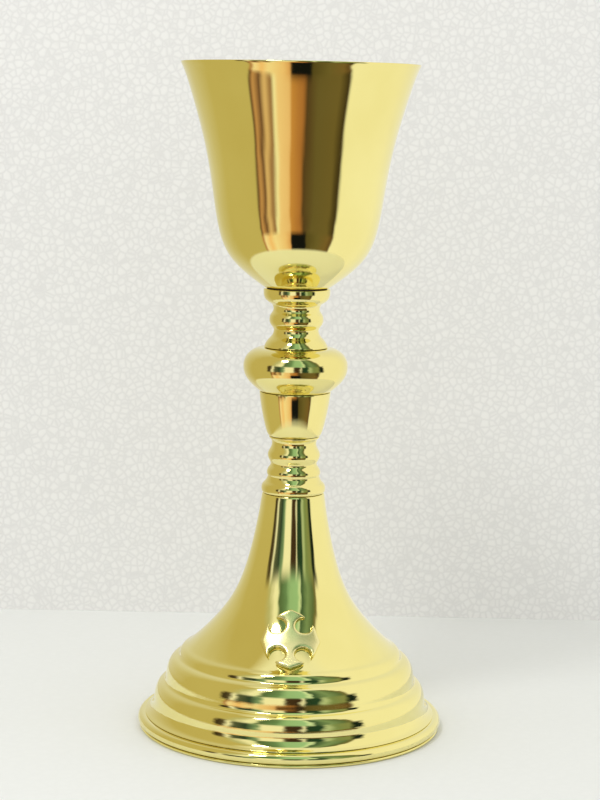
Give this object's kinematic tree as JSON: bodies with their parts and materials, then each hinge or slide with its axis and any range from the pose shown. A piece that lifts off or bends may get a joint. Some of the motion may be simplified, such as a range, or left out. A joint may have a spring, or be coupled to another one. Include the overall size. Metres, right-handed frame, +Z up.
{
  "type": "ciborium vessel",
  "caption": "Open altar cup of polished gold-plated brass on a turned stem with a round knop and a stepped bell foot that carries a small cross.",
  "frame": {"origin": "centre of the foot's underside", "axes": "+Z up the stem; the cross is on the -Y side, the front; +X to the viewer's right"},
  "size_m": [0.1156, 0.1156, 0.25],
  "materials": {
    "gold_plate": "polished gold plate on brass",
    "bare_brass": "turned brass, unplated",
    "steel": "zinc plated steel",
    "dark_fibre": "matt dark fibre"
  },
  "bodies": {
    "stem_and_foot": {"base_ring": "gold_plate", "edge_bead": "gold_plate", "foot_shell": "gold_plate", "lower_collar": "gold_plate", "stem_cone": "gold_plate", "knop_lower": "gold_plate", "knop_upper": "gold_plate", "upper_collar": "gold_plate", "tie_rod": "steel", "neck_washer": "steel", "spring_washer": "steel", "tie_nut": "steel", "cross": "gold_plate", "cross_pin_left": "bare_brass", "cross_pin_right": "bare_brass"},
    "washer": {"cup_washer": "dark_fibre"},
    "cup": {"cup_bowl": "gold_plate", "cup_boss": "bare_brass"}
  },
  "joints": [
    {"name": "cup_turn", "type": "hinge", "parent": "stem_and_foot", "child": "washer", "pos_m": [0, 0, 0.167], "axis": [0, 0, 1], "range_deg": [0, 2880]},
    {"name": "cup_rise", "type": "slide", "parent": "washer", "child": "cup", "axis": [0, 0, 1], "range_m": [0, 0.008]}
  ],
  "couplings": [
    {"joint": "cup_rise", "follows": "cup_turn", "m_per_rad": 0.00015915}
  ]
}
